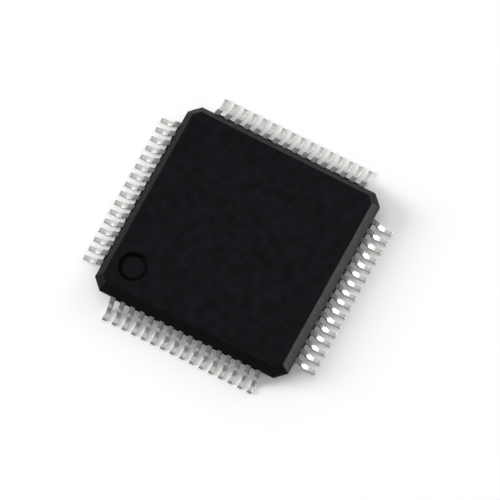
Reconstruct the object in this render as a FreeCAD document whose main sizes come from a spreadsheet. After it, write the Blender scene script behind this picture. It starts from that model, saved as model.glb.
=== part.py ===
import FreeCAD, Part
import Sketcher
import math
import os

# Quad flat pack chip: a thin moulded package, 10 mm square and 1 mm thick, with sixteen
# gull wing leads on each side at 0.5 mm pitch.
# Millimetres. The origin is the centre of the seating plane, under the feet of the leads.
# +Z is up, and the pin 1 corner is at -X, +Y. Pins count anticlockwise from above: 1 to 16
# down the -X side, 17 to 32 along -Y, 33 to 48 up +X and 49 to 64 back along +Y.

DRIVING_SIZES = (
    # the moulded body
    ("corner_margin", 1.25, "parting line to the outermost lead of the next side"),
    ("corner_cut", 0.5, "leg of each corner chamfer at the parting line"),
    ("standoff", 0.1, "seating plane to the underside of the body"),
    ("mould_below", 0.4365, "underside of the body to the underside of the lead frame"),
    ("mould_above", 0.4365, "top of the lead frame to the top of the body"),
    ("top_inset", 0.35, "how far the draft brings in each edge of the top face"),
    ("bottom_inset", 0.3, "how far the draft brings in each edge of the underside"),
    ("top_edge_radius", 0.04, "rounding of the edges of the top face"),
    # the marks that the mould leaves
    ("pin1_from_left", 1.6, "centre of the pin 1 dimple from the -X side"),
    ("pin1_from_back", 1.4, "centre of the pin 1 dimple from the +Y side"),
    ("pin1_radius", 0.7, "radius of the dimple at the top face"),
    ("pin1_floor_radius", 0.52, "radius of the flat floor of the dimple"),
    ("pin1_depth", 0.1, "depth of the dimple"),
    ("ejector_radius", 0.6, "radius of each ejector pin mark on the underside"),
    ("ejector_depth", 0.03, "depth of each ejector pin mark"),
    ("ejector_place", 3.0, "ejector pin marks from the centre, along X and along Y"),
    # the lead frame outside the body
    ("frame_thickness", 0.127, "thickness of the lead frame strip"),
    ("leads_per_side", 16, "number of leads on each side"),
    ("lead_pitch", 0.5, "spacing of the leads"),
    ("lead_width", 0.22, "width of a lead"),
    ("lead_reach", 1.0, "parting line to the tip of a lead"),
    ("shoulder_length", 0.1, "flat length of a lead between the body and its first bend"),
    ("shoulder_radius", 0.21, "outer radius of the bend at the shoulder"),
    ("heel_radius", 0.21, "outer radius of the bend at the heel"),
    ("slope_angle", 68, "slope of the lead between its bends, from the horizontal"),
    ("stub_length", 0.05, "length of the dam bar stub left on each side of the shoulder"),
    ("stub_width", 0.03, "how far each dam bar stub stands out"),
    # the lead frame inside the body
    ("finger_knee", 0.45, "parting line to the knee where an inner finger starts to slant"),
    ("finger_gap", 0.45, "edge of the die pad to the tips of the inner fingers"),
    ("finger_width", 0.18, "width of an inner finger at its tip"),
    ("finger_corner", 0.45, "outermost finger tip to the line of tips of the next side"),
    ("pad_margin", 0.5, "how far the die pad stands out around the die"),
    ("pad_downset", 0.18, "how far the die pad lies below the leads"),
    ("tie_bar_width", 0.3, "width of the tie bars that hold the pad at its corners"),
    ("tie_bar_flat", 0.1, "flat length of a tie bar beside the pad, before its slope"),
    ("tie_bar_run", 0.25, "length of the slope, measured level"),
    # the die and its wires
    ("attach_thickness", 0.025, "thickness of the adhesive under the die"),
    ("attach_margin", 0.05, "how far the adhesive stands out around the die"),
    ("die_side", 4.4, "side of the die"),
    ("die_thickness", 0.25, "thickness of the die"),
    ("bond_corner", 0.4, "corner of the die to its outermost wire, along the edge"),
    ("bond_inset", 0.12, "edge of the die to the start of a wire"),
    ("wire_thickness", 0.025, "thickness of a bond wire"),
    ("loop_height", 0.12, "rise of a wire above the die"),
    ("stitch_inset", 0.2, "tip of a finger to the end of the wire on it"),
)

WORKED_OUT_SIZES = (
    ("lead_row", "=(leads_per_side - 1) * lead_pitch", "first to last lead of a side"),
    ("body_side", "=lead_row + 2 * corner_margin", "side of the square body at its parting line"),
    ("body_edge", "=body_side / 2", "centre to the parting line"),
    ("frame_bottom", "=standoff + mould_below", "height of the underside of the lead frame"),
    ("frame_top", "=frame_bottom + frame_thickness", "height of the top of the lead frame"),
    ("mould_top", "=frame_top + mould_above", "height of the top of the body"),
    ("top_draft", "=atan(top_inset / mould_above)", "draft angle of the upper half"),
    ("bottom_draft", "=atan(bottom_inset / mould_below)", "draft angle of the lower half"),
    ("pin1_x", "=pin1_from_left - body_edge", "pin 1 dimple, X"),
    ("pin1_y", "=body_edge - pin1_from_back", "pin 1 dimple, Y"),
    ("pin1_floor", "=mould_top - pin1_depth", "height of the floor of the dimple"),
    ("bend_start", "=body_edge + shoulder_length", "centre to the start of the first bend"),
    ("stub_start", "=bend_start - stub_length", "centre to the start of the dam bar stubs"),
    ("tip_reach", "=body_edge + lead_reach", "centre to the lead tips"),
    ("knee_reach", "=body_edge - finger_knee", "centre to the knees of the fingers"),
    ("pad_side", "=die_side + 2 * pad_margin", "side of the die pad"),
    ("finger_reach", "=pad_side / 2 + finger_gap", "centre to the tips of the fingers"),
    ("finger_row", "=2 * (finger_reach - finger_corner)", "first to last finger tip of a side"),
    ("finger_pitch", "=finger_row / (leads_per_side - 1)", "spacing of the tips of the fingers"),
    ("pad_bottom", "=frame_bottom - pad_downset", "height of the underside of the die pad"),
    ("pad_top", "=pad_bottom + frame_thickness", "height of the top of the die pad"),
    ("pad_corner", "=pad_side / sqrt(2)", "centre to a corner of the pad"),
    ("tie_bar_root", "=pad_corner - tie_bar_width", "where a tie bar starts inside the pad"),
    ("tie_bar_bend", "=pad_corner + tie_bar_flat", "where the slope of a tie bar starts"),
    ("tie_bar_rise", "=tie_bar_bend + tie_bar_run", "where the slope of a tie bar ends"),
    ("tie_bar_end", "=(body_side - corner_cut) / sqrt(2)", "centre to the face of a corner chamfer"),
    ("die_bottom", "=pad_top + attach_thickness", "height of the underside of the die"),
    ("die_top", "=die_bottom + die_thickness", "height of the top of the die"),
    ("attach_side", "=die_side + 2 * attach_margin", "side of the adhesive layer"),
    ("bond_reach", "=die_side / 2 - bond_inset", "centre to the starts of the wires"),
    ("bond_row", "=die_side - 2 * bond_corner", "first to last wire of a side of the die"),
    ("bond_pitch", "=bond_row / (leads_per_side - 1)", "spacing of the wires along the die"),
)


def make_sheet(doc):
    """Write every size into one spreadsheet: the driving ones first, then what follows from them."""
    sheet = doc.addObject("Spreadsheet::Sheet", "sizes")
    for row, (alias, value, meaning) in enumerate(DRIVING_SIZES + WORKED_OUT_SIZES, start=1):
        sheet.set("A%d" % row, meaning)
        sheet.set("B%d" % row, str(value))
        sheet.setAlias("B%d" % row, alias)
    doc.recompute()
    return sheet


def named(expression):
    """Point each size named in the expression at the sheet."""
    words = []
    for word in expression.split():
        bare = word.strip("()")
        if bare and (bare[0].isalpha()) and bare not in ("sin", "cos"):
            word = word.replace(bare, "<<sizes>>." + bare)
        words.append(word)
    return " ".join(words)


def number(sheet, expression):
    """The present value of an expression, in millimetres or degrees."""
    value = sheet.evalExpression(named(expression))
    return float(getattr(value, "Value", value))


def origin_part(body, role):
    """One of the three planes or axes of a body's own origin."""
    return [item for item in body.Origin.OriginFeatures if item.Role == role][0]


def new_sketch(body, name, plane, offset="0"):
    """A sketch flat on one of the body's planes, moved along that plane's normal."""
    sketch = body.newObject("Sketcher::SketchObject", name)
    sketch.AttachmentSupport = [(origin_part(body, plane), "")]
    sketch.MapMode = "FlatFace"
    sketch.setExpression("AttachmentOffset.Base.z", named(offset))
    return sketch


def bind(sketch, constraint, expression):
    """Add a dimension to a sketch and drive it from the sheet."""
    index = sketch.addConstraint(constraint)
    sketch.setExpression("Constraints[%d]" % index, named(expression))


def pin_point(sheet, sketch, line, expressions):
    """Hold the start of a line at a place given by two expressions."""
    for kind, expression in zip(("DistanceX", "DistanceY"), expressions):
        here = number(sheet, expression)
        bind(sketch, Sketcher.Constraint(kind, -1, 1, line, 1, here), expression)


def draw_polygon(sheet, sketch, corners):
    """Draw a closed outline whose corners are pairs of expressions, each corner driven."""
    places = [FreeCAD.Vector(number(sheet, x), number(sheet, y), 0) for x, y in corners]
    count = len(corners)
    for index in range(count):
        sketch.addGeometry(Part.LineSegment(places[index], places[(index + 1) % count]))
    for index in range(count):
        sketch.addConstraint(Sketcher.Constraint("Coincident", index, 2, (index + 1) % count, 1))
    for index, expressions in enumerate(corners):
        pin_point(sheet, sketch, index, expressions)


def draw_circle(sheet, sketch, centre, radius):
    """Draw one circle driven by the sheet."""
    middle = FreeCAD.Vector(number(sheet, centre[0]), number(sheet, centre[1]), 0)
    size = number(sheet, radius)
    circle = sketch.addGeometry(Part.Circle(middle, FreeCAD.Vector(0, 0, 1), size))
    for kind, expression in zip(("DistanceX", "DistanceY"), centre):
        here = number(sheet, expression)
        bind(sketch, Sketcher.Constraint(kind, -1, 1, circle, 3, here), expression)
    bind(sketch, Sketcher.Constraint("Radius", circle, size), radius)


def pad_sketch(body, sketch, name, length, both_ways=False):
    """Raise a sketch by a driven length, or by half of it to each side."""
    pad = body.newObject("PartDesign::Pad", name)
    pad.Profile = sketch
    if both_ways:
        pad.SideType = "Symmetric"
    pad.setExpression("Length", named(length))
    return pad


def repeat_round_centre(body, features, name):
    """Repeat features four times about the vertical axis, once for each side or corner."""
    pattern = body.newObject("PartDesign::PolarPattern", name)
    pattern.Originals = features
    pattern.Axis = (origin_part(body, "Z_Axis"), [""])
    pattern.Angle = 360
    pattern.Occurrences = 4
    body.Tip = pattern
    return pattern


def octagon():
    """The outline of the body at its parting line: a square with its corners cut."""
    edge = "body_edge"
    start = "body_edge - corner_cut"
    return (
        (edge, "-( " + start + " )"), (edge, start),
        (start, edge), ("-( " + start + " )", edge),
        ("-( " + edge + " )", start), ("-( " + edge + " )", "-( " + start + " )"),
        ("-( " + start + " )", "-( " + edge + " )"), (start, "-( " + edge + " )"),
    )


def make_mould_outside(doc, sheet):
    """The outside of the moulded body: a land as thick as the lead frame, between two drafted halves."""
    body = doc.addObject("PartDesign::Body", "mould_outside")
    sketch = new_sketch(body, "parting_outline", "XY_Plane", "frame_bottom")
    draw_polygon(sheet, sketch, octagon())
    pad_sketch(body, sketch, "parting_land", "frame_thickness")

    sketch = new_sketch(body, "upper_outline", "XY_Plane", "frame_top")
    draw_polygon(sheet, sketch, octagon())
    upper = pad_sketch(body, sketch, "upper_half", "mould_above")
    upper.setExpression("TaperAngle", named("-( top_draft )"))

    sketch = new_sketch(body, "lower_outline", "XY_Plane", "frame_bottom")
    draw_polygon(sheet, sketch, octagon())
    lower = pad_sketch(body, sketch, "lower_half", "mould_below")
    lower.Reversed = True
    lower.setExpression("TaperAngle", named("-( bottom_draft )"))
    doc.recompute()

    # the eight edges round the top face
    height = number(sheet, "mould_top")
    rim = []
    for index, edge in enumerate(lower.Shape.Edges, start=1):
        if all(abs(vertex.Z - height) < 1e-6 for vertex in edge.Vertexes):
            rim.append("Edge%d" % index)
    rounding = body.newObject("PartDesign::Fillet", "top_edge_rounding")
    rounding.Base = (lower, rim)
    rounding.setExpression("Radius", named("top_edge_radius"))

    # the pin 1 dimple is turned about an upright line through its centre
    sketch = new_sketch(body, "pin1_section", "YZ_Plane", "pin1_x")
    draw_polygon(sheet, sketch, (
        ("pin1_y", "mould_top"), ("pin1_y", "pin1_floor"),
        ("pin1_y + pin1_floor_radius", "pin1_floor"), ("pin1_y + pin1_radius", "mould_top")))
    dimple = body.newObject("PartDesign::Groove", "pin1_dimple")
    dimple.Profile = sketch
    dimple.ReferenceAxis = (sketch, ["Edge1"])
    dimple.Angle = 360

    # four ejector pins press the body out of the mould from below
    sketch = new_sketch(body, "ejector_outline", "XY_Plane", "standoff")
    draw_circle(sheet, sketch, ("ejector_place", "ejector_place"), "ejector_radius")
    mark = body.newObject("PartDesign::Pocket", "ejector_mark")
    mark.Profile = sketch
    mark.setExpression("Length", named("ejector_depth"))
    mark.Reversed = True
    repeat_round_centre(body, [mark], "ejector_marks")
    return body


def draw_gull_wing(sheet, sketch):
    """Draw the side view of a lead outside the body: a strip pressed over one edge and into another."""
    root = number(sheet, "body_edge")
    bottom = number(sheet, "frame_bottom")
    thick = number(sheet, "frame_thickness")
    bend = number(sheet, "bend_start")
    tip = number(sheet, "tip_reach")
    shoulder = number(sheet, "shoulder_radius")
    heel = number(sheet, "heel_radius")
    slope = math.radians(number(sheet, "slope_angle"))
    level = FreeCAD.Vector(1, 0, 0)
    upright = FreeCAD.Vector(0, 1, 0)
    across = level * math.sin(slope) + upright * math.cos(slope)
    down = level * math.cos(slope) - upright * math.sin(slope)

    # the outside of each bend is round and its inside is pressed sharp
    top_centre = FreeCAD.Vector(bend, bottom + thick - shoulder, 0)
    spread = shoulder - thick + heel
    heel_x = bend + (spread - (heel - top_centre.y) * math.cos(slope)) / math.sin(slope)
    heel_centre = FreeCAD.Vector(heel_x, heel, 0)
    slope_top = top_centre + across * shoulder
    slope_foot = slope_top + down * ((slope_top.y - thick) / math.sin(slope))
    under_foot = heel_centre - across * heel
    under_top = under_foot - down * ((bottom - under_foot.y) / math.sin(slope))

    def line(start, end):
        return sketch.addGeometry(Part.LineSegment(start, end))

    def arc(centre, radius, start, end):
        circle = Part.Circle(centre, FreeCAD.Vector(0, 0, 1), radius)
        return sketch.addGeometry(Part.ArcOfCircle(circle, start, end))

    root_top = FreeCAD.Vector(root, bottom + thick, 0)
    root_bottom = FreeCAD.Vector(root, bottom, 0)
    tip_top = FreeCAD.Vector(tip, thick, 0)
    tip_bottom = FreeCAD.Vector(tip, 0, 0)
    turned = math.pi / 2 - slope
    shoulder_top = line(root_top, top_centre + upright * shoulder)
    over_shoulder = arc(top_centre, shoulder, turned, math.pi / 2)
    slope_outside = line(slope_top, slope_foot)
    foot_top = line(slope_foot, tip_top)
    foot_end = line(tip_top, tip_bottom)
    foot_bottom = line(tip_bottom, heel_centre - upright * heel)
    under_heel = arc(heel_centre, heel, math.pi + turned, math.pi * 1.5)
    slope_inside = line(under_foot, under_top)
    shoulder_bottom = line(under_top, root_bottom)
    root_end = line(root_bottom, root_top)

    # an arc runs anticlockwise, so each one ends at its level line
    smooth = (
        (shoulder_top, 2, over_shoulder, 2), (over_shoulder, 1, slope_outside, 1),
        (foot_bottom, 2, under_heel, 2), (under_heel, 1, slope_inside, 1))
    for first, first_end, second, second_end in smooth:
        sketch.addConstraint(Sketcher.Constraint("Tangent", first, first_end, second, second_end))
    corners = (
        (slope_outside, foot_top), (foot_top, foot_end), (foot_end, foot_bottom),
        (slope_inside, shoulder_bottom), (shoulder_bottom, root_end), (root_end, shoulder_top))
    for first, second in corners:
        sketch.addConstraint(Sketcher.Constraint("Coincident", first, 2, second, 1))
    for flat in (shoulder_top, foot_top, foot_bottom, shoulder_bottom):
        sketch.addConstraint(Sketcher.Constraint("Horizontal", flat))
    for standing in (foot_end, root_end):
        sketch.addConstraint(Sketcher.Constraint("Vertical", standing))
    sketch.addConstraint(Sketcher.Constraint("Parallel", slope_outside, slope_inside))

    pin_point(sheet, sketch, root_end, ("body_edge", "frame_bottom"))
    bind(sketch, Sketcher.Constraint("DistanceY", root_end, 1, root_end, 2, thick), "frame_thickness")
    bind(sketch, Sketcher.Constraint("DistanceX", shoulder_top, 1, shoulder_top, 2, bend - root),
         "shoulder_length")
    bind(sketch, Sketcher.Constraint("Radius", over_shoulder, shoulder), "shoulder_radius")
    bind(sketch, Sketcher.Constraint("Radius", under_heel, heel), "heel_radius")
    bind(sketch, Sketcher.Constraint("Distance", slope_outside, 2, slope_inside, thick), "frame_thickness")
    bind(sketch, Sketcher.Constraint("DistanceY", foot_end, 2, foot_end, 1, thick), "frame_thickness")
    bind(sketch, Sketcher.Constraint("DistanceX", -1, 1, foot_end, 1, tip), "tip_reach")
    sketch.addConstraint(Sketcher.Constraint("PointOnObject", foot_end, 2, -1))
    bind(sketch, Sketcher.Constraint("Angle", slope_inside, math.pi - slope), "180 - slope_angle")


def finger_corners(place):
    """The top view of the flat part of a lead: inner finger, knee, root and dam bar stubs."""
    side = place + " * lead_pitch"
    tip = place + " * finger_pitch"
    half = "lead_width / 2"
    stub = half + " + stub_width"
    return (
        (side + " + " + half, "knee_reach"), (side + " + " + half, "stub_start"),
        (side + " + " + stub, "stub_start"), (side + " + " + stub, "bend_start"),
        (side + " - ( " + stub + " )", "bend_start"), (side + " - ( " + stub + " )", "stub_start"),
        (side + " - " + half, "stub_start"), (side + " - " + half, "knee_reach"),
        (tip + " - finger_width / 2", "finger_reach"), (tip + " + finger_width / 2", "finger_reach"),
    )


def rank_place(rank):
    """How many pitches a lead lies from the middle of the +Y side, as an expression."""
    return "( ( leads_per_side + 1 ) / 2 - %d )" % rank


def pin_names(prefix, rank, count):
    """A node name that gives the pins of the four like pieces in it."""
    pins = [rank + count * side for side in range(4)]
    return prefix + "_" + "_".join("%02d" % pin for pin in pins)


def make_leads(doc, sheet, rank, count):
    """The leads of one rank, one on each side: a stamped strip, flat inside the body and bent outside."""
    body = doc.addObject("PartDesign::Body", pin_names("leads", rank, count))
    sketch = new_sketch(body, "flat_outline", "XY_Plane", "frame_bottom")
    draw_polygon(sheet, sketch, finger_corners(rank_place(rank)))
    flat = pad_sketch(body, sketch, "flat_strip", "frame_thickness")
    sketch = new_sketch(body, "gull_wing_outline", "YZ_Plane", rank_place(rank) + " * lead_pitch")
    draw_gull_wing(sheet, sketch)
    wing = pad_sketch(body, sketch, "gull_wing", "lead_width", both_ways=True)
    repeat_round_centre(body, [flat, wing], "four_sides")
    return body


def make_die_pad(doc, sheet):
    """The die pad and its four tie bars, stamped in one piece and pressed down below the leads."""
    body = doc.addObject("PartDesign::Body", "die_pad")
    sketch = new_sketch(body, "pad_outline", "XY_Plane", "pad_bottom")
    half = "pad_side / 2"
    minus = "-( pad_side / 2 )"
    draw_polygon(sheet, sketch, ((minus, minus), (half, minus), (half, half), (minus, half)))
    pad_sketch(body, sketch, "pad", "frame_thickness")
    # the section of a tie bar stands in the upright plane through two corners of the body
    sketch = new_sketch(body, "tie_bar_section", "YZ_Plane")
    diagonal = FreeCAD.Rotation(FreeCAD.Vector(0, 1, 0), 45)
    sketch.AttachmentOffset = FreeCAD.Placement(FreeCAD.Vector(0, 0, 0), diagonal)
    draw_polygon(sheet, sketch, (
        ("tie_bar_root", "pad_bottom"), ("tie_bar_bend", "pad_bottom"),
        ("tie_bar_rise", "frame_bottom"), ("tie_bar_end", "frame_bottom"),
        ("tie_bar_end", "frame_top"), ("tie_bar_rise", "frame_top"),
        ("tie_bar_bend", "pad_top"), ("tie_bar_root", "pad_top")))
    bar = pad_sketch(body, sketch, "tie_bar", "tie_bar_width", both_ways=True)
    repeat_round_centre(body, [bar], "tie_bars")
    return body


def make_slab(doc, name, side, bottom, thickness):
    """A square slab centred over the origin."""
    slab = doc.addObject("Part::Box", name)
    slab.setExpression("Length", named(side))
    slab.setExpression("Width", named(side))
    slab.setExpression("Height", named(thickness))
    slab.setExpression("Placement.Base.x", named("-( " + side + " ) / 2"))
    slab.setExpression("Placement.Base.y", named("-( " + side + " ) / 2"))
    slab.setExpression("Placement.Base.z", named(bottom))
    return slab


def make_bond_wires(doc, sheet, rank, count):
    """The wires of one rank, each drawn straight up from the die and then down to its finger."""
    place = number(sheet, rank_place(rank))
    thick = number(sheet, "wire_thickness")
    start = FreeCAD.Vector(place * number(sheet, "bond_pitch"), number(sheet, "bond_reach"), 0)
    finger = FreeCAD.Vector(place * number(sheet, "finger_pitch"), number(sheet, "finger_reach"), 0)
    along = (finger - start).normalize()
    up = FreeCAD.Vector(0, 0, 1)
    die_top = number(sheet, "die_top")
    crest = die_top + number(sheet, "loop_height")
    landing = number(sheet, "frame_top")

    # the wire ends flat on the finger, as a wedge: the stitch
    span = (finger - start).Length + number(sheet, "stitch_inset")
    fall = math.atan2(crest - landing, span)
    stitch = thick / math.sin(fall)
    inner_bend = crest - thick * math.tan(fall) - thick / math.cos(fall)
    outline = [
        (0, die_top), (thick, die_top), (thick, inner_bend), (span - stitch, landing),
        (span, landing), (0, crest)]
    corners = [start + along * level + up * height for level, height in outline]
    # a square section stands for the round wire, which keeps the facets few
    across = up.cross(along) * thick
    face = Part.Face(Part.makePolygon(corners + corners[:1]))
    wire = face.extrude(across)
    wire.translate(across * -0.5)
    turns = [wire.copy() for quarter in range(4)]
    for quarter, turned in enumerate(turns):
        turned.rotate(FreeCAD.Vector(0, 0, 0), up, 90 * quarter)
    wires = doc.addObject("Part::Feature", pin_names("bond_wires", rank, count))
    wires.Shape = Part.makeCompound(turns)
    return wires


def make_mould_body(doc, outside, inner_pieces):
    """The moulded body as it is: its outside, less the room that the pieces inside it take up."""
    buried = doc.addObject("Part::MultiFuse", "buried_pieces")
    buried.Shapes = inner_pieces
    mould = doc.addObject("Part::Cut", "mould_body")
    mould.Base = outside
    mould.Tool = buried
    return mould


def check_and_export(pieces):
    """Stop at any object that failed, then write one file for each named piece."""
    os.makedirs("parts", exist_ok=True)
    for piece in pieces:
        if "Invalid" in piece.State or "Error" in piece.State:
            raise RuntimeError(piece.Label + " failed")
        if piece.Shape.isNull() or not piece.Shape.isValid():
            raise RuntimeError(piece.Label + " has no valid shape")
        piece.Shape.exportStep("parts/" + piece.Label + ".step")


def build():
    doc = FreeCAD.newDocument("quad_flat_pack")
    sheet = make_sheet(doc)
    count = int(number(sheet, "leads_per_side"))
    outside = make_mould_outside(doc, sheet)
    pad = make_die_pad(doc, sheet)
    attach = make_slab(doc, "die_attach", "attach_side", "pad_top", "attach_thickness")
    die = make_slab(doc, "silicon_die", "die_side", "die_bottom", "die_thickness")
    leads = [make_leads(doc, sheet, rank, count) for rank in range(1, count + 1)]
    doc.recompute()
    wires = [make_bond_wires(doc, sheet, rank, count) for rank in range(1, count + 1)]
    inner_pieces = [pad, attach, die] + leads + wires
    mould = make_mould_body(doc, outside, inner_pieces)
    doc.recompute()
    for item in doc.Objects:
        if "Invalid" in item.State or "Error" in item.State:
            raise RuntimeError(item.Label + " failed")
    check_and_export([mould] + inner_pieces)


build()
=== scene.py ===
"""A 64 lead quad flat pack chip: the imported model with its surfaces, seen as in the photograph.

Sizes are in millimetres until a mesh or a lamp is made. The chip rests on z = 0 with its centre
over the origin.
"""
import math

import bmesh
import bpy
import numpy as np
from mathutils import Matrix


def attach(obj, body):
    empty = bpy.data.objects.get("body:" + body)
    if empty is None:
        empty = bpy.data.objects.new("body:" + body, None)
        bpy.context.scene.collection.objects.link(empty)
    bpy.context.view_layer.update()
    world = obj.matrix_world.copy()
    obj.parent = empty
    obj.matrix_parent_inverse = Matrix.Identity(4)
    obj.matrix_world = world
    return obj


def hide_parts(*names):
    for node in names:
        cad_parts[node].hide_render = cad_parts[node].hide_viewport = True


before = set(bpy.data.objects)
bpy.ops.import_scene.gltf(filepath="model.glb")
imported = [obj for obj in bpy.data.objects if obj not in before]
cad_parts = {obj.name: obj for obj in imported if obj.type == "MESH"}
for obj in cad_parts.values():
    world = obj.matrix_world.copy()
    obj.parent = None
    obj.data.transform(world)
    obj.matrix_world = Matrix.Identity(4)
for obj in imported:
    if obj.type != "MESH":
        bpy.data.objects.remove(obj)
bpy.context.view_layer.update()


# The camera stands far off, as the even size of the near and far leads shows. It looks down at 72
# degrees from over the corner between the -X and -Y sides, with the chip a little left of middle.
camera_turn = math.radians(-59.08)
camera_height = math.radians(71.83)
camera_roll = math.radians(-3.08)
camera_distance = 400.0
focal_pixels = 8724.0
origin_pixel = (237.89, 246.17)
picture_side = 500.0

back = np.array([
    math.sin(camera_turn) * math.cos(camera_height),
    -math.cos(camera_turn) * math.cos(camera_height),
    math.sin(camera_height)])
level = np.array([math.cos(camera_turn), math.sin(camera_turn), 0.0])
upward = np.cross(back, level)
right = math.cos(camera_roll) * level + math.sin(camera_roll) * upward
upward = math.cos(camera_roll) * upward - math.sin(camera_roll) * level
shift_right = (origin_pixel[0] - picture_side / 2) / focal_pixels * camera_distance
shift_up = (picture_side / 2 - origin_pixel[1]) / focal_pixels * camera_distance
place = (back * camera_distance - right * shift_right - upward * shift_up) / 1000

camera_data = bpy.data.cameras.new("camera")
camera_data.sensor_width = 36.0
camera_data.lens = focal_pixels / picture_side * camera_data.sensor_width
camera_data.clip_start = 0.01
camera_data.clip_end = 20.0
camera = bpy.data.objects.new("camera", camera_data)
bpy.context.scene.collection.objects.link(camera)
pose = np.eye(4)
pose[:3, 0], pose[:3, 1], pose[:3, 2], pose[:3, 3] = right, upward, back, place
camera.matrix_world = pose.T.tolist()
bpy.context.scene.camera = camera
bpy.context.scene.view_settings.view_transform = "Standard"


# The chip lies on a table with plain white paper, which fades to white as the photograph's does and
# keeps the chip's soft shadow. Shine and glass see the glow of the paper as the camera does.
def linear(hex_colour):
    """The linear colour of an sRGB hex value: c / 12.92 up to 0.04045, and above that
    ((c + 0.055) / 1.055) to the power 2.4."""
    part = np.array([int(hex_colour[index:index + 2], 16) for index in (1, 3, 5)]) / 255
    part = np.where(part <= 0.04045, part / 12.92, ((part + 0.055) / 1.055) ** 2.4)
    return tuple(float(value) for value in part) + (1.0,)


def add_node(tree, kind, settings=(), links=()):
    """Add one node, set its sockets (by name or number) or properties, and link outputs into it."""
    node = tree.nodes.new(kind)
    for name, value in dict(settings).items():
        if isinstance(name, int) or name in node.inputs.keys():
            node.inputs[name].default_value = value
        else:
            setattr(node, name, value)
    for name, output in dict(links).items():
        tree.links.new(output, node.inputs[name])
    return node


def new_material(name):
    """An empty node material and its output node."""
    material = bpy.data.materials.new(name)
    material.use_nodes = True
    material.node_tree.nodes.clear()
    return material, add_node(material.node_tree, "ShaderNodeOutputMaterial")


def make_object(name, points, faces, material_numbers, materials, smooth=True):
    """A mesh object in metres from an array of points in millimetres and a list of faces."""
    mesh = bpy.data.meshes.new(name)
    mesh.from_pydata((np.asarray(points, float) / 1000).tolist(), [], faces)
    for material in materials:
        mesh.materials.append(material)
    mesh.polygons.foreach_set("material_index", np.asarray(material_numbers, np.int32))
    mesh.polygons.foreach_set("use_smooth", np.full(len(mesh.polygons), smooth))
    mesh.update()
    obj = bpy.data.objects.new(name, mesh)
    bpy.context.scene.collection.objects.link(obj)
    return obj


white = (1.0, 1.0, 1.0, 1.0)
table_half_side = 1500.0
# the paper throws back less light than the camera sees on it, so the leads keep their greys
paper_to_others, paper_to_camera = 0.8, 1.0
glow_as_light, glow_as_seen = 0.0, 0.1

white_table, table_output = new_material("white_table_paper")
tree = white_table.node_tree
ray = add_node(tree, "ShaderNodeLightPath")
tone = add_node(tree, "ShaderNodeMapRange", {"To Min": paper_to_others, "To Max": paper_to_camera},
                {"Value": ray.outputs["Is Camera Ray"]})
seen = ray.outputs["Is Camera Ray"]
for kind in ("Is Glossy Ray", "Is Transmission Ray"):
    seen = add_node(tree, "ShaderNodeMath", {"operation": "MAXIMUM"},
                    {0: seen, 1: ray.outputs[kind]}).outputs[0]
glow = add_node(tree, "ShaderNodeMapRange", {"To Min": glow_as_light, "To Max": glow_as_seen},
                {"Value": seen})
paper = add_node(tree, "ShaderNodeBsdfDiffuse", links={"Color": tone.outputs["Result"]})
fade = add_node(tree, "ShaderNodeEmission", {"Color": white}, {"Strength": glow.outputs["Result"]})
both = add_node(tree, "ShaderNodeAddShader", links={0: paper.outputs[0], 1: fade.outputs[0]})
tree.links.new(both.outputs[0], table_output.inputs["Surface"])

corners = np.array([(-1, -1, 0), (1, -1, 0), (1, 1, 0), (-1, 1, 0)], float) * table_half_side
table = make_object("table", corners, [(0, 1, 2, 3)], [0], [white_table], smooth=False)


# A soft box stands low at the left of the picture and a weaker one at the right, both a little
# behind the chip, so its shadow falls towards the camera.
def soft_box(name, bearing, rise, distance, width, height, radiance):
    """A rectangular lamp that faces the chip. Its bearing, from +X towards +Y, and its rise are in
    degrees, its distance and size in millimetres. Its power is radiance x pi x its area in square
    metres."""
    lamp = bpy.data.lights.new(name, "AREA")
    lamp.shape = "RECTANGLE"
    lamp.size = width / 1000
    lamp.size_y = height / 1000
    lamp.energy = radiance * math.pi * lamp.size * lamp.size_y
    obj = bpy.data.objects.new(name, lamp)
    bpy.context.scene.collection.objects.link(obj)
    bearing, rise = math.radians(bearing), math.radians(rise)
    east, north = math.cos(bearing), math.sin(bearing)
    pose = np.eye(4)
    pose[:3, 0] = -north, east, 0
    pose[:3, 1] = -east * math.sin(rise), -north * math.sin(rise), math.cos(rise)
    pose[:3, 2] = east * math.cos(rise), north * math.cos(rise), math.sin(rise)
    pose[:3, 3] = pose[:3, 2] * distance / 1000
    obj.matrix_world = pose.T.tolist()
    obj.visible_camera = False
    return obj


soft_box("left_soft_box", bearing=108, rise=25, distance=700, width=300, height=260, radiance=13.6)
soft_box("right_soft_box", bearing=328, rise=26, distance=700, width=300, height=200, radiance=4.6)

# a white card on the -Y side, which only shine sees, gives the bright bends of the leads there
white_card = soft_box(
    "white_card", bearing=290, rise=42, distance=600, width=350, height=600, radiance=1.6)
white_card.visible_diffuse = False


# Two small cards stand by the chip, which only shine sees: a lit one that gives the pale -Y flank,
# and a dim one that darkens the -X flank and the bends of the leads there.
def small_card(name, start, end, height, radiance):
    """An evenly glowing card that stands on the table between two places, in millimetres."""
    glowing, output = new_material(name + "_glow")
    glow = add_node(glowing.node_tree, "ShaderNodeEmission", {"Color": white, "Strength": radiance})
    glowing.node_tree.links.new(glow.outputs[0], output.inputs["Surface"])
    corners = [(*start, 0), (*end, 0), (*end, height), (*start, height)]
    card = make_object(name, corners, [(0, 1, 2, 3)], [0], [glowing], smooth=False)
    card.visible_camera = card.visible_diffuse = False
    card.visible_transmission = card.visible_shadow = False


small_card("lit_card", start=(-8, -16), end=(24, -16), height=3, radiance=12.0)
small_card("dim_card", start=(-8.5, -25), end=(-8.5, 25), height=30, radiance=0.19)

# the room is nearly white behind the chip, towards +X and +Y, and dim on the side of the camera
brightest_way = (0.54, 0.8, 0.27)
dim_end, bright_end = -0.3, 1.0
dim_level, bright_level = 0.27, 0.99

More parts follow.
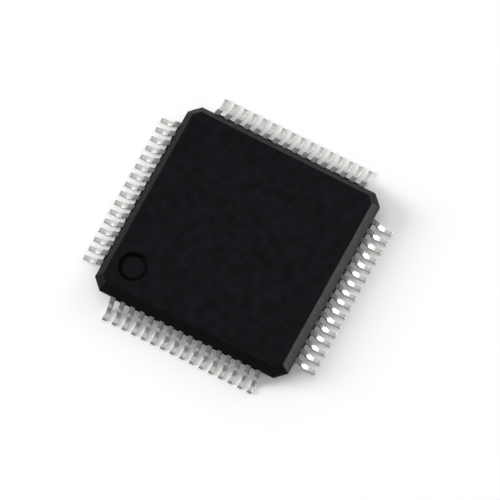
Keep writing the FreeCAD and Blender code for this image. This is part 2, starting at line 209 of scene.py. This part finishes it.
world = bpy.data.worlds.new("white_room")
world.use_nodes = True
bpy.context.scene.world = world
tree = world.node_tree
tree.nodes.clear()
direction = add_node(tree, "ShaderNodeTexCoord")
towards = add_node(tree, "ShaderNodeVectorMath", {"operation": "DOT_PRODUCT", 1: brightest_way},
                   {0: direction.outputs["Generated"]})
shade = add_node(tree, "ShaderNodeMapRange", {
    "From Min": dim_end, "From Max": bright_end, "To Min": dim_level, "To Max": bright_level},
    {"Value": towards.outputs["Value"]})
room = add_node(tree, "ShaderNodeBackground", {"Color": white},
                {"Strength": shade.outputs["Result"]})
add_node(tree, "ShaderNodeOutputWorld", links={"Surface": room.outputs[0]})


# The die pad with its four tie bars is stamped from the copper sheet that the leads are cut from,
# and pressed down. It is hidden in the body but for the cut ends of the tie bars at the corners.
def in_millimetres(tree):
    """The place on the chip in millimetres, so a pattern's scale is one over its size in them."""
    where = add_node(tree, "ShaderNodeTexCoord")
    return add_node(tree, "ShaderNodeMapping", {"Scale": (1000.0, 1000.0, 1000.0)},
                    {"Vector": where.outputs["Object"]}).outputs["Vector"]


# most of a cloudy noise lies between these two
noise_low, noise_high = 0.3, 0.7


def lumps(tree, size, detail=3.0):
    """Cloudy noise whose lumps are about size millimetres across."""
    return add_node(tree, "ShaderNodeTexNoise", {"Scale": 1.0 / size, "Detail": detail},
                    {"Vector": in_millimetres(tree)}).outputs["Fac"]


def clouded(tree, size, dark, light, edges=(noise_low, noise_high), detail=3.0):
    """Clouds about size millimetres across, from a dark hex colour at the first edge of the noise
    to a light one at the second."""
    ramp = add_node(tree, "ShaderNodeValToRGB", links={"Fac": lumps(tree, size, detail)})
    for element, edge, hex_colour in zip(ramp.color_ramp.elements, edges, (dark, light)):
        element.position = edge
        element.color = linear(hex_colour)
    return ramp.outputs["Color"]


def patchy(tree, size, low, high):
    """A roughness from low to high, in patches about size millimetres across."""
    return add_node(tree, "ShaderNodeMapRange",
                    {"From Min": noise_low, "From Max": noise_high, "To Min": low, "To Max": high},
                    {"Value": lumps(tree, size)}).outputs["Result"]


def grained(tree, size, depth, detail=3.0):
    """A relief of grains about size millimetres across and depth millimetres from low to high."""
    return add_node(tree, "ShaderNodeBump", {"Distance": depth / 1000, "Strength": 1.0},
                    {"Height": lumps(tree, size, detail)}).outputs["Normal"]


def surface(name, settings, links):
    """A material with one Principled shader; links is a function that gives its linked sockets."""
    material, output = new_material(name)
    tree = material.node_tree
    shader = add_node(tree, "ShaderNodeBsdfPrincipled", settings, links(tree))
    tree.links.new(shader.outputs[0], output.inputs["Surface"])
    return material


def reach_from_middle(tree, operation):
    """|x| and |y| in millimetres, joined by an operation of the math node."""
    place = add_node(tree, "ShaderNodeSeparateXYZ", links={0: in_millimetres(tree)})
    size = [add_node(tree, "ShaderNodeMath", {"operation": "ABSOLUTE"}, {0: place.outputs[axis]})
            for axis in "XY"]
    return add_node(tree, "ShaderNodeMath", {"operation": operation},
                    {0: size[0].outputs[0], 1: size[1].outputs[0]}).outputs[0]


# where |x| + |y| nears 9.5 mm, the cut corners of the body
tarnish_start, tarnish_full = 9.4, 9.48


def strip_colour(tree):
    """Warm copper, and brown tarnish at the tie bars' cut ends."""
    copper = clouded(tree, 0.25, "#b9805f", "#d39a74")
    tarnish = clouded(tree, 0.05, "#3f352f", "#5c4d44")
    cut_end = add_node(tree, "ShaderNodeMapRange",
                       {"From Min": tarnish_start, "From Max": tarnish_full},
                       {"Value": reach_from_middle(tree, "ADD")})
    # the two colours of a mix are its sockets 6 and 7, and the mixed one is its output 2
    return add_node(tree, "ShaderNodeMix", {"data_type": "RGBA"},
                    {"Factor": cut_end.outputs["Result"], 6: copper, 7: tarnish}).outputs[2]


# Rolled copper alloy: warm, half matt, with stains where the plating tank's water dried. The ends
# of the tie bars are cut last and stay bare, so they tarnish.
lead_frame_copper = surface(
    "rolled_copper_alloy_strip", {"Metallic": 1.0},
    lambda tree: {
        "Base Color": strip_colour(tree),
        "Roughness": patchy(tree, 0.08, 0.32, 0.46),
        "Normal": grained(tree, 0.02, 0.002)})


def dress(node, material):
    """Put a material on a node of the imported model."""
    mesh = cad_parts[node].data
    mesh.materials.clear()
    mesh.materials.append(material)


dress("die_pad", lead_frame_copper)


# The die adhesive is epoxy filled with silver flakes, pressed out to a thin layer under the die. It
# is grey and half matt, because the flakes lie at all angles in the resin.
silver_filled_epoxy = surface(
    "silver_filled_epoxy_cured", {"Metallic": 0.6},
    lambda tree: {
        "Base Color": clouded(tree, 0.03, "#8d8f8e", "#c3c4bf"),
        "Roughness": patchy(tree, 0.05, 0.5, 0.7),
        "Normal": grained(tree, 0.02, 0.004)})
dress("die_attach", silver_filled_epoxy)


# The silicon die is a sawn and polished square. Its top has the blocks of a circuit under a thin
# clear glass, which gives it a dark blue and bronze sheen.
def circuit_blocks(tree):
    """Brick blocks 0.4 mm wide and 0.13 mm high, which vary in colour as blocks of a circuit do."""
    bricks = add_node(tree, "ShaderNodeTexBrick", {
        "Color1": linear("#3b4663"), "Color2": linear("#6b5a4a"), "Mortar": linear("#20242f"),
        "Scale": 1.0, "Mortar Size": 0.012, "Brick Width": 0.4, "Row Height": 0.13},
        {"Vector": in_millimetres(tree)})
    return bricks.outputs["Color"]


polished_silicon = surface(
    "polished_silicon_with_glass", {"Metallic": 0.7, "Coat Weight": 0.6, "Coat Roughness": 0.05},
    lambda tree: {
        "Base Color": circuit_blocks(tree),
        "Roughness": patchy(tree, 0.1, 0.16, 0.26)})
dress("silicon_die", polished_silicon)


# The bond wires are drawn gold, each bonded hot to the die and to the finger of its lead. Drawing
# leaves them bright, with a shine that varies a little from place to place.
drawn_gold = surface(
    "drawn_gold_wire", {"Metallic": 1.0},
    lambda tree: {
        "Base Color": clouded(tree, 0.05, "#e0b04a", "#f2cc74"),
        "Roughness": patchy(tree, 0.03, 0.2, 0.32)})
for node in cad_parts:
    if node.startswith("bond_wires"):
        dress(node, drawn_gold)


# The body is moulded round the lead frame from black epoxy full of ground silica. The faces of the
# mould are spark eroded, which leaves the top and the bottom matt. Its flanks are drawn out of the
# mould and shine more. The pin 1 dimple and the ejector marks are the prints of turned pins.
body_edge = 5.0
corner_cut = 0.5
edge_softness = 0.03
body_bottom, land_bottom, land_top, body_top = 0.1, 0.5365, 0.6635, 1.1
top_inset, bottom_inset = 0.35, 0.3
# the land lies 3 thousandths back, so the cut ends of the tie bars show in it
land_inset = 0.003
side_arcs = (0.04, 0.012, 0.012, 0.03)
dimple_centre = np.array([-3.4, 3.6])
dimple_radius, dimple_floor_radius, dimple_depth = 0.7, 0.52, 0.1
dimple_arcs = (0.04, 0.02)
ejector_radius, ejector_depth, ejector_place = 0.6, 0.03, 3.0
ejector_arcs = (0.01, 0.01)
# flat strips next to the edges, which keep the arcs' shading out of the faces
rim_width, face_margin = 0.03, 0.2
long_side_points, cut_side_points, corner_points = 41, 5, 5
quarter_border_steps = 20


def softened(corners, radii, steps=4):
    """A polyline whose inner corners are arcs: each arc of radius r starts r tan(turn / 2) before
    its corner."""
    corners = np.asarray(corners, float)
    line = [corners[:1]]
    for before, corner, after, radius in zip(corners, corners[1:], corners[2:], radii):
        arriving = (corner - before) / np.linalg.norm(corner - before)
        leaving = (after - corner) / np.linalg.norm(after - corner)
        turn = math.atan2(arriving[0] * leaving[1] - arriving[1] * leaving[0], arriving @ leaving)
        inward = np.sign(turn) * np.array([-arriving[1], arriving[0]])
        start = corner - arriving * radius * math.tan(abs(turn) / 2)
        centre = start + inward * radius
        angle = np.linspace(0, abs(turn), steps + 1)[:, None]
        line.append(centre - inward * radius * np.cos(angle) + arriving * radius * np.sin(angle))
    line.append(corners[-1:])
    return np.concatenate(line)


def body_outline(inset):
    """The octagon of the body set in on all sides, from the middle of the +X side round to it
    again. Its eight corners are arcs, and each straight side has evenly spaced points between two
    arcs."""
    angles = np.radians(45 * np.arange(9))
    reach = np.where(np.arange(9) % 2 == 0, body_edge, (2 * body_edge - corner_cut) / math.sqrt(2))
    reach = reach - inset - edge_softness
    # sides a and b, with normals 45 degrees apart, meet at a along a's normal and
    # (b - a cos) / sin across it
    across = (reach[1:] - reach[:-1] * math.cos(math.pi / 4)) / math.sin(math.pi / 4)
    normal = np.stack([np.cos(angles[:-1]), np.sin(angles[:-1])], 1)
    tangent = np.stack([-np.sin(angles[:-1]), np.cos(angles[:-1])], 1)
    centres = normal * reach[:-1, None] + tangent * across[:, None]
    turn = angles[:-1, None] + np.radians(np.linspace(0, 45, corner_points))
    arcs = centres[:, None] + edge_softness * np.stack([np.cos(turn), np.sin(turn)], 2)
    parts = []
    for corner in range(8):
        parts.append(arcs[corner])
        count = cut_side_points if corner % 2 == 0 else long_side_points
        step = np.linspace(0, 1, count + 2)[1:-1, None]
        parts.append(arcs[corner][-1] * (1 - step) + arcs[(corner + 1) % 8][0] * step)
    points = np.concatenate(parts)
    return np.roll(points, (long_side_points + 1) // 2, axis=0)


def ring_at(outline, height):
    """An outline lifted to a height."""
    return np.concatenate([outline, np.full((len(outline), 1), height)], 1)


def round_pit(centre, profile, outline):
    """Rings round a centre, one for each (radius, height) of the profile, whose points have the
    bearings of the outline's points."""
    away = outline - centre
    away = away / np.linalg.norm(away, axis=1)[:, None]
    return [ring_at(centre + away * radius, height) for radius, height in profile]


def blend_rings(inner, outer, steps):
    """Rings between two rings, evenly spaced on straight lines."""
    return [inner * (1 - step) + outer * step for step in np.linspace(0, 1, steps + 2)[1:-1]]


def grid_faces(rings, around, first=0):
    """Quads between neighbouring rings of closed rings that have the same number of points."""
    row, column = np.meshgrid(np.arange(rings - 1), np.arange(around), indexing="ij")
    following = (column + 1) % around
    corners = [row * around + column, row * around + following,
               (row + 1) * around + following, (row + 1) * around + column]
    return (np.stack(corners, -1).reshape(-1, 4) + first).tolist()


# the third finish, the dimple's wall, is painted darker as painted shade in the dimple
spark_eroded, drawn_smooth, dimple_wall_painted_shade = 0, 1, 2
points, faces, finishes = [], [], []


def add_rings(rings, ring_finishes):
    """Join a stack of rings into the body's mesh, with a finish for each band between two rings."""
    first = sum(len(part) for part in points)
    around = len(rings[0])
    points.extend(rings)
    faces.extend(grid_faces(len(rings), around, first))
    finishes.extend(np.repeat(ring_finishes, around).tolist())


# from the middle of the dimple over the top face, down the flanks and the land to the bottom face
dimple_floor = body_top - dimple_depth
dimple_profile = softened(
    [(0.0, dimple_floor), (dimple_floor_radius, dimple_floor),
     (dimple_radius, body_top), (dimple_radius + rim_width, body_top)], dimple_arcs)
side_profile = softened(
    [(top_inset + face_margin, body_top), (top_inset, body_top),
     (land_inset, land_top), (land_inset, land_bottom),
     (bottom_inset, body_bottom), (bottom_inset + face_margin, body_bottom)], side_arcs)
side_rings = [ring_at(body_outline(inset), height) for inset, height in side_profile]
dimple_rings = round_pit(dimple_centre, dimple_profile, side_rings[0][:, :2])
top_rings = blend_rings(dimple_rings[-1], side_rings[0], steps=3)
rings = dimple_rings + top_rings + side_rings
# the dimple wall's painted shade and the flanks' polish both begin and end within the arcs at their
# edges
dimple_wall = slice(2, 8)
flanks = slice(len(dimple_rings) + len(top_rings) + 2, -2)
band_finishes = np.full(len(rings) - 1, spark_eroded)
band_finishes[dimple_wall] = dimple_wall_painted_shade
band_finishes[flanks] = drawn_smooth
add_rings(rings, band_finishes)

# the bottom face in four quarters, each round its ejector mark
bottom_outline = side_rings[-1][:, :2]
quarter_points = len(bottom_outline) // 4
ejector_ceiling = body_bottom + ejector_depth
ejector_profile = softened(
    [(0.0, ejector_ceiling), (ejector_radius, ejector_ceiling),
     (ejector_radius, body_bottom), (ejector_radius + rim_width, body_bottom)], ejector_arcs)
inward_steps = np.linspace(1, 0, quarter_border_steps + 1)[:, None]
for quarter in range(4):
    turned = np.roll(bottom_outline, -quarter * quarter_points, axis=0)
    outside = turned[:quarter_points + 1]
    border = np.concatenate([
        outside, outside[-1] * inward_steps[1:], outside[0] * inward_steps[-2:0:-1]])
    bearing = math.radians(45 + 90 * quarter)
    centre = ejector_place * math.sqrt(2) * np.array([math.cos(bearing), math.sin(bearing)])
    pit = round_pit(centre, ejector_profile, border)
    edge = ring_at(border, body_bottom)
    rings = pit + blend_rings(pit[-1], edge, steps=2) + [edge]
    add_rings(rings, np.full(len(rings) - 1, spark_eroded))

# Between the leads the resin runs out as far as the bar that dammed it. The bar is punched away,
# and a ragged sliver of resin, a little thinner than the strip, stays in each gap of a side.
gaps_per_side = 15
sliver_pitch, sliver_half_width = 0.5, 0.135
sliver_root, sliver_skin = body_edge - 0.01, 0.004
sliver_shortest, sliver_longest = 5.025, 5.06
sliver_reach = np.random.default_rng(5).uniform(
    sliver_shortest, sliver_longest, (4, gaps_per_side, 2))
sliver_faces = np.array([
    (3, 2, 1, 0), (4, 5, 6, 7), (0, 1, 5, 4), (1, 2, 6, 5), (2, 3, 7, 6), (3, 0, 4, 7)])
for side in range(4):
    middle = (np.arange(gaps_per_side) - gaps_per_side // 2) * sliver_pitch
    along = middle[:, None] + sliver_half_width * np.array([-1, 1])
    ends = np.stack([along, sliver_reach[side]], 2)
    roots = np.stack([along, np.full((gaps_per_side, 2), sliver_root)], 2)
    plan = np.concatenate([roots, ends[:, ::-1]], 1)
    turn = math.radians(90 * side)
    plan = plan @ np.array([[math.cos(turn), math.sin(turn)], [-math.sin(turn), math.cos(turn)]])
    low = np.concatenate([plan, np.full((gaps_per_side, 4, 1), land_bottom + sliver_skin)], 2)
    high = np.concatenate([plan, np.full((gaps_per_side, 4, 1), land_top - sliver_skin)], 2)
    first = sum(len(part) for part in points) + 8 * np.arange(gaps_per_side)[:, None, None]
    points.append(np.concatenate([low, high], 1).reshape(-1, 3))
    faces.extend((first + sliver_faces).reshape(-1, 4).tolist())
    finishes.extend([spark_eroded] * gaps_per_side * len(sliver_faces))

# Black epoxy with silica: nearly black, faintly blue, with a fine grain of spark pits. The pits are
# about 0.02 mm and are drawn at 0.05 mm to show, and the filler gives faint clouds of 0.5 mm.
spark_eroded_epoxy = surface(
    "black_epoxy_spark_eroded_face", {"Specular IOR Level": 0.08, "IOR": 1.55},
    lambda tree: {
        "Base Color": clouded(tree, 0.5, "#020204", "#101017", detail=4.0),
        "Roughness": patchy(tree, 0.3, 0.6, 0.72),
        "Normal": grained(tree, 0.05, 0.004, detail=2.0)})

# The flanks slide out of the mould, which polishes its steel: the same epoxy with a satin shine.
drawn_epoxy = surface(
    "black_epoxy_drawn_flank", {"Specular IOR Level": 0.1, "IOR": 1.55},
    lambda tree: {
        "Base Color": clouded(tree, 0.4, "#08080a", "#0c0c0e"),
        "Roughness": patchy(tree, 0.2, 0.32, 0.42),
        "Normal": grained(tree, 0.06, 0.002, detail=2.0)})

# The wall of the dimple is the print of a turned pin. It is painted darker, with less shine, as
# painted shade in the dimple.
epoxy_dimple_wall_painted_shade = surface(
    "black_epoxy_dimple_wall_painted_shade", {"Specular IOR Level": 0.015, "IOR": 1.55},
    lambda tree: {
        "Base Color": clouded(tree, 0.4, "#040406", "#070709"),
        "Roughness": patchy(tree, 0.2, 0.5, 0.6),
        "Normal": grained(tree, 0.06, 0.002, detail=2.0)})


def face_outwards(obj, merge_distance=0.0):
    """Merge points that are nearer than a distance in metres, turn all faces outwards, and let the
    flat faces shade flat."""
    cleaned = bmesh.new()
    cleaned.from_mesh(obj.data)
    if merge_distance:
        bmesh.ops.remove_doubles(cleaned, verts=cleaned.verts, dist=merge_distance)
    bmesh.ops.recalc_face_normals(cleaned, faces=cleaned.faces)
    cleaned.to_mesh(obj.data)
    cleaned.free()
    obj.modifiers.new("flat_faces_shade_flat", "WEIGHTED_NORMAL")


moulded_body = make_object(
    "moulded_body", np.concatenate(points), faces, finishes,
    [spark_eroded_epoxy, drawn_epoxy, epoxy_dimple_wall_painted_shade])
face_outwards(moulded_body, merge_distance=1e-7)
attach(moulded_body, "root")
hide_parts("mould_body")


# The 64 leads are stamped from copper strip and plated with matt tin where they stand out of the
# body. Then they are bent down and out again, and cut off, so their tips show bare copper.
lead_thickness = 0.127
lead_width = 0.22
lead_pitch, finger_pitch = 0.5, 0.36
leads_per_side = 16
finger_reach, knee_reach, tip_reach = 3.15, 4.55, 6.0
finger_width = 0.18
# the tin begins 0.02 mm inside the body
tin_start = body_edge - 0.02
# the stubs of the dam bar stand out square, within 2 thousandths
stub_start, bend_start, stub_width, stub_step = 5.05, 5.1, 0.03, 0.002
# 0.21 is the outer radius of the shoulder, and 0.4 the inner radius of the heel
shoulder_radius = 0.21 - lead_thickness / 2
heel_radius = 0.4 + lead_thickness / 2
bend_angle = math.radians(68)
strip_height = 0.6
rolled_edge, cut_edge = 0.022, 0.007
# a station 0.12 mm before the tip keeps the foot flat, and over the last 8 thousandths the punch
# draws the cut end in by a hair all round
foot_station, drawn_length = 0.12, 0.008
drawn_width, drawn_thickness = 0.96, 0.93
edge_points, bend_points = 5, 10


def strip_section():
    """The strip's cross section as (across, thick) factors and offsets: a rectangle of half sizes 1
    with four arcs. The punch rolls the upper edges over and leaves the lower two nearly sharp."""
    corners = []
    for start, across, thick, radius in (
            (0, 1, 1, rolled_edge), (90, -1, 1, rolled_edge),
            (180, -1, -1, cut_edge), (270, 1, -1, cut_edge)):
        angle = np.radians(start + np.linspace(0, 90, edge_points))
        offset = np.stack([radius * (np.cos(angle) - across), radius * (np.sin(angle) - thick)], 1)
        corners.append(np.concatenate([np.tile((across, thick), (edge_points, 1)), offset], 1))
    return np.concatenate(corners)


def strip_path():
    """Stations along the strip's middle: reach from the chip's centre, height, lean of its upper
    face and half width. A bend's middle line is its centre +- radius x (sin lean, cos lean), and
    the slope between the bends is straight."""
    lean = np.linspace(0, bend_angle, bend_points)
    across, rise = np.sin(lean), np.cos(lean)
    shoulder_height = strip_height - shoulder_radius
    heel_height = lead_thickness / 2 + heel_radius
    heel_reach = bend_start + (shoulder_radius + heel_radius + (
        shoulder_height - heel_height) * math.cos(bend_angle)) / math.sin(bend_angle)
    shoulder = np.stack(
        [bend_start + shoulder_radius * across, shoulder_height + shoulder_radius * rise, lean], 1)
    heel = np.stack([heel_reach - heel_radius * across, heel_height - heel_radius * rise, lean], 1)
    half = lead_width / 2
    flat = [
        (finger_reach, strip_height, 0, finger_width / 2),
        (knee_reach, strip_height, 0, half),
        (tin_start, strip_height, 0, half),
        (stub_start, strip_height, 0, half),
        (stub_start + stub_step, strip_height, 0, half + stub_width),
        (bend_start - stub_step, strip_height, 0, half + stub_width)]
    foot = [
        (tip_reach - foot_station, lead_thickness / 2, 0, half),
        (tip_reach - drawn_length, lead_thickness / 2, 0, half)]
    bends = np.concatenate([shoulder, heel[::-1]])
    bends = np.concatenate([bends, np.full((len(bends), 1), half)], 1)
    return np.concatenate([flat, bends, foot])


def one_lead(place):
    """The points of one lead of the +Y side, place pitches from its middle: the cross section stood
    up at each station of the path. Each finger leans sideways, from the lead's pitch at the knee to
    the finger pitch at its tip."""
    reach, height, lean, half = (column[:, None] for column in strip_path().T)
    factor_across, factor_thick, across, thick = strip_section().T
    side = factor_across * half + across
    rise = factor_thick * lead_thickness / 2 + thick
    fan = np.clip((knee_reach - reach) / (knee_reach - finger_reach), 0, 1)
    x = place * (lead_pitch + fan * (finger_pitch - lead_pitch)) + side
    y = reach + rise * np.sin(lean)
    z = height + rise * np.cos(lean)
    grid = np.stack([x, y, z], 2)
    end = grid[-1:].copy()
    middle = end.mean(axis=1, keepdims=True)
    end[..., 0] = middle[..., 0] + (end[..., 0] - middle[..., 0]) * drawn_width
    end[..., 2] = middle[..., 2] + (end[..., 2] - middle[..., 2]) * drawn_thickness
    end[..., 1] = tip_reach
    return np.concatenate([grid, end])


# Matt tin: pale grey, with grains of a few thousandths that are drawn at 0.03 mm to show, and a
# shine that varies where the tools pressed it. The shoulders are a dull grey that is not metal,
# and the last tenth at the tip is a darker tin.
grey_shoulder_edge, darker_tip_edge = (0.29, 0.34), (0.86, 0.94)
raggedness = 0.1


def beyond(tree, start, end):
    """0 to 1 from start to end, in millimetres out of the body along a lead: how far |x| or |y|,
    whichever is larger, reaches past the body's edge, with noise that makes the change ragged."""
    noise = add_node(tree, "ShaderNodeMath",
                     {"operation": "MULTIPLY_ADD", 1: raggedness, 2: -raggedness / 2},
                     {0: lumps(tree, 0.06)})
    ragged = add_node(tree, "ShaderNodeMath", {"operation": "ADD"},
                      {0: reach_from_middle(tree, "MAXIMUM"), 1: noise.outputs[0]})
    return add_node(tree, "ShaderNodeMapRange", {
        "interpolation_type": "SMOOTHSTEP",
        "From Min": body_edge + start, "From Max": body_edge + end},
        {"Value": ragged.outputs[0]}).outputs["Result"]


def tin_colour(tree):
    """Dull grey on the shoulder, clouded tin on the slope and the foot, darker tin at the tip."""
    grey_shoulder = clouded(tree, 0.08, "#717170", "#888885")
    tin = clouded(tree, 0.12, "#cccbc8", "#dfdedb")
    darker_tip = clouded(tree, 0.05, "#b0aeaa", "#c8c6c1")
    clean = add_node(tree, "ShaderNodeMix", {"data_type": "RGBA"},
                     {"Factor": beyond(tree, *grey_shoulder_edge), 6: grey_shoulder, 7: tin}).outputs[2]
    return add_node(tree, "ShaderNodeMix", {"data_type": "RGBA"},
                    {"Factor": beyond(tree, *darker_tip_edge), 6: clean, 7: darker_tip}).outputs[2]


matt_tin = surface(
    "matt_tin_plating_with_grey_shoulders", {"Specular IOR Level": 0.2},
    lambda tree: {
        "Metallic": beyond(tree, *grey_shoulder_edge),
        "Base Color": tin_colour(tree),
        "Roughness": patchy(tree, 0.1, 0.27, 0.42),
        "Normal": grained(tree, 0.03, 0.003)})

# Bare copper where the punch cut the tip, dulled, with tin smeared over most of it.
cut_copper = surface(
    "sheared_copper_with_tin_smear", {"Metallic": 1.0},
    lambda tree: {
        "Base Color": clouded(tree, 0.05, "#84776f", "#aaa6a2", edges=(0.42, 0.55)),
        "Roughness": patchy(tree, 0.04, 0.55, 0.75),
        "Normal": grained(tree, 0.02, 0.004)})

plated, bare, sheared = 0, 1, 2
for rank in range(1, leads_per_side + 1):
    grid = one_lead((leads_per_side + 1) / 2 - rank)
    stations, around = grid.shape[:2]
    # the first two bands, from the finger's tip to where the tin begins, lie in the body
    band = np.full(stations - 1, plated)
    band[:2] = bare
    lead_points, lead_faces, lead_finishes = [], [], []
    for quarter in range(4):
        angle = math.radians(90 * quarter)
        turn = np.array([
            (math.cos(angle), -math.sin(angle), 0),
            (math.sin(angle), math.cos(angle), 0),
            (0, 0, 1)])
        first = quarter * stations * around
        last = first + (stations - 1) * around
        lead_points.append(grid.reshape(-1, 3) @ turn.T)
        lead_faces += grid_faces(stations, around, first)
        lead_finishes += np.repeat(band, around).tolist()
        lead_faces += [tuple(range(first, first + around)), tuple(range(last, last + around))[::-1]]
        lead_finishes += [bare, sheared]
    pins = "_".join("%02d" % (rank + leads_per_side * quarter) for quarter in range(4))
    lead = make_object(
        "gull_wings_" + pins, np.concatenate(lead_points), lead_faces, lead_finishes,
        [matt_tin, lead_frame_copper, cut_copper])
    face_outwards(lead)
    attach(lead, "root")
    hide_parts("leads_" + pins)
